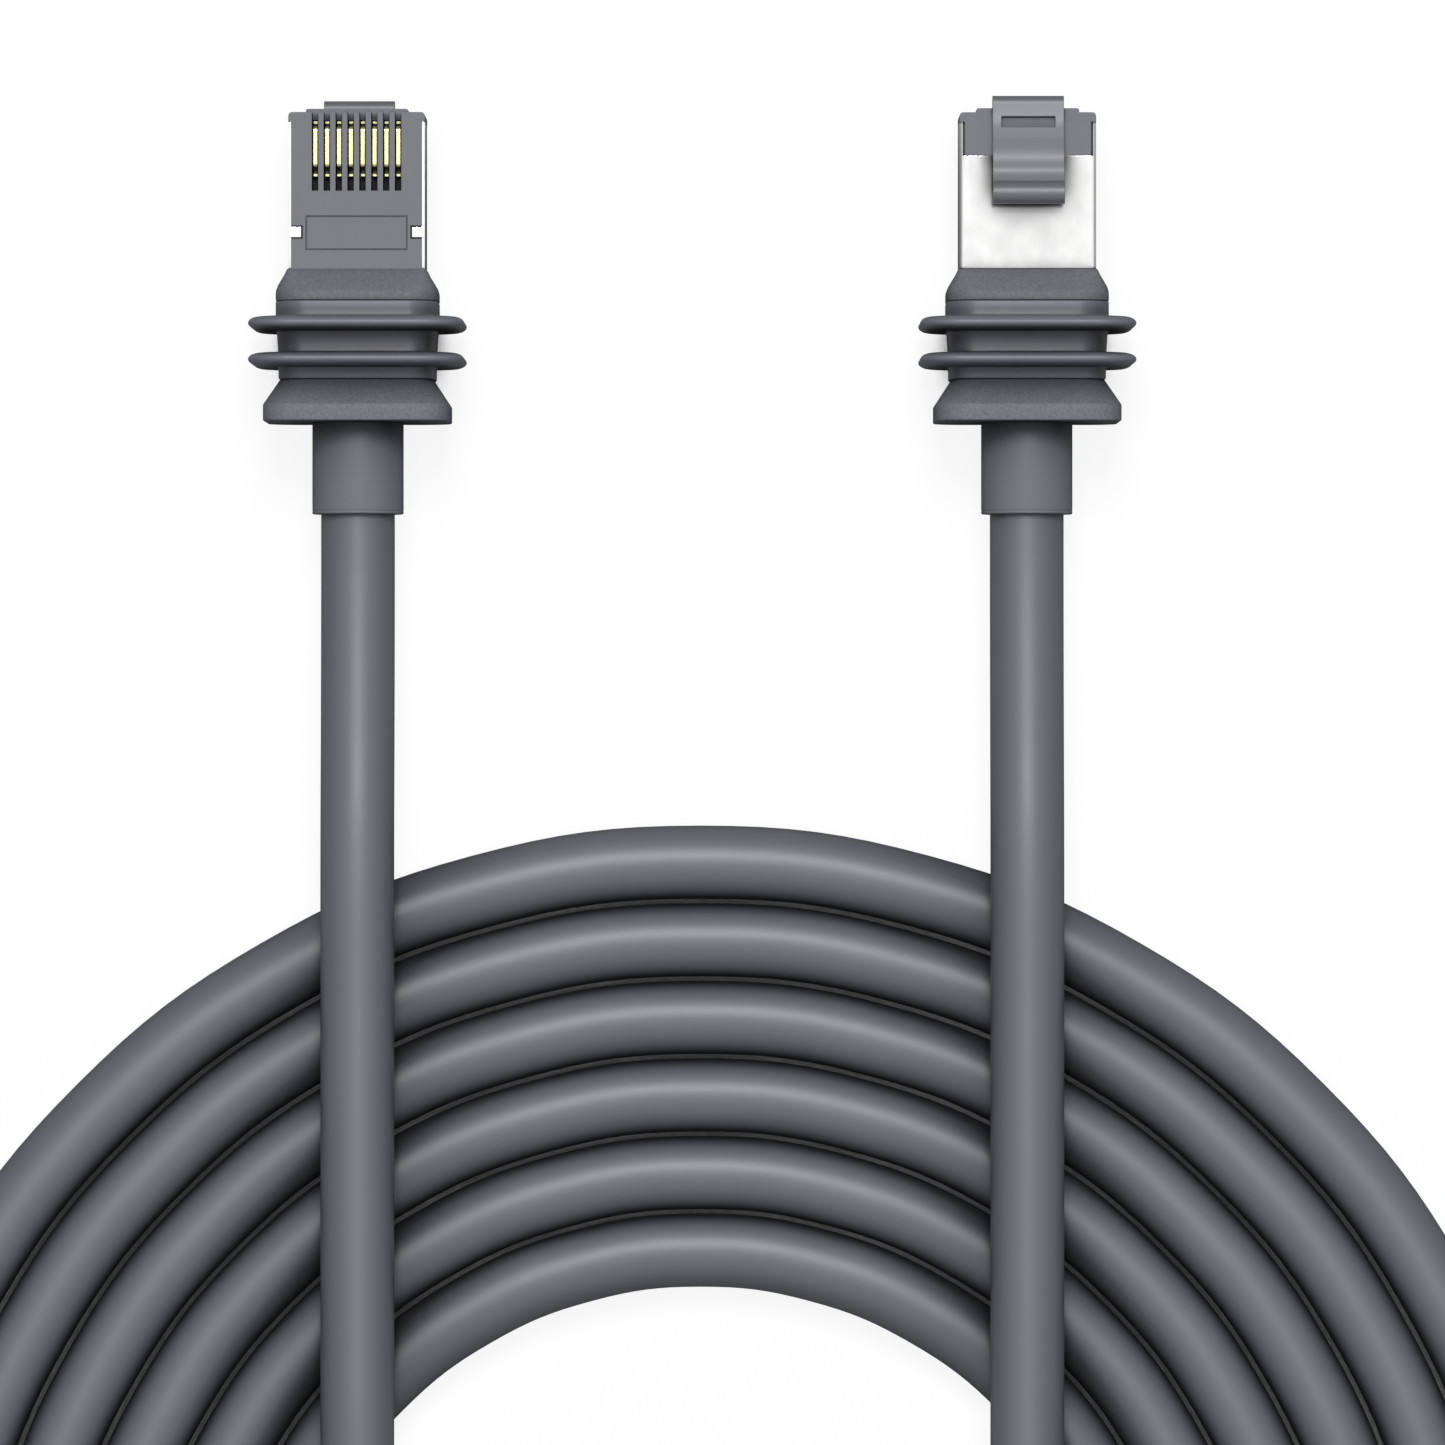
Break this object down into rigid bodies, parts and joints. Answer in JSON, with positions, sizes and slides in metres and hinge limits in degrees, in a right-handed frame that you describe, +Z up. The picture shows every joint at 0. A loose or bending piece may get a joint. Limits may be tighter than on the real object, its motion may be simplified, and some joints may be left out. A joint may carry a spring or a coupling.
{
  "type": "ethernet patch cable",
  "caption": "Round shielded data cable laid in a flat coil, with a latching modular plug and a sealing boot at each end.",
  "frame": {"origin": "on the surface that the cable lies on, midway between the two plugs and at the middle of their length", "axes": "+Y the way both plugs point, +X from plug a to plug b, +Z up from the surface"},
  "size_m": [0.1531, 0.2116, 0.016],
  "materials": {
    "housing_plastic": "satin",
    "contact_gold": "polished",
    "shell_metal": "polished",
    "guide_plastic": "matte",
    "orange_insulation": "glossy",
    "green_insulation": "glossy",
    "blue_insulation": "glossy",
    "brown_insulation": "glossy",
    "separator_plastic": "matte",
    "shield_foil": "polished",
    "braid_metal": "woven",
    "ring_metal": "satin",
    "boot_plastic": "fine grain",
    "seal_rubber": "smooth",
    "sleeve_rubber": "smooth",
    "cable_jacket": "satin"
  },
  "bodies": {
    "body": {"plug_housing_a": "housing_plastic", "plug_housing_b": "housing_plastic", "contacts_a": "contact_gold", "contacts_b": "contact_gold", "shield_shell_a": "shell_metal", "shield_shell_b": "shell_metal", "wire_guide_a": "guide_plastic", "wire_guide_b": "guide_plastic", "pair_orange_a": "orange_insulation", "pair_orange_b": "orange_insulation", "pair_green_a": "green_insulation", "pair_green_b": "green_insulation", "pair_blue_a": "blue_insulation", "pair_blue_b": "blue_insulation", "pair_brown_a": "brown_insulation", "pair_brown_b": "brown_insulation", "pair_separator_a": "separator_plastic", "pair_separator_b": "separator_plastic", "foil_shield_a": "shield_foil", "foil_shield_b": "shield_foil", "shield_braid_a": "braid_metal", "shield_braid_b": "braid_metal", "crimp_ring_a": "ring_metal", "crimp_ring_b": "ring_metal", "boot_collar_a": "boot_plastic", "boot_collar_b": "boot_plastic", "boot_flange_a": "boot_plastic", "boot_flange_b": "boot_plastic", "seal_a": "seal_rubber", "seal_b": "seal_rubber", "strain_relief_a": "sleeve_rubber", "strain_relief_b": "sleeve_rubber", "jacket_end_a": "cable_jacket", "jacket_end_b": "cable_jacket", "cable_lead_a": "cable_jacket", "cable_coil": "cable_jacket", "cable_lead_b": "cable_jacket"},
    "latch_a": {"latch_a": "housing_plastic"},
    "latch_b": {"latch_b": "housing_plastic"}
  },
  "joints": [
    {"name": "latch_a_flex", "type": "hinge", "parent": "body", "child": "latch_a", "pos_m": [-0.02875, 0.01717, 0.00445], "axis": [-1, 0, 0], "range_deg": [0, 10], "stiffness_Nm_per_rad": 0.1},
    {"name": "latch_b_flex", "type": "hinge", "parent": "body", "child": "latch_b", "pos_m": [0.02875, 0.01717, 0.01155], "axis": [1, 0, 0], "range_deg": [0, 10], "stiffness_Nm_per_rad": 0.1}
  ]
}
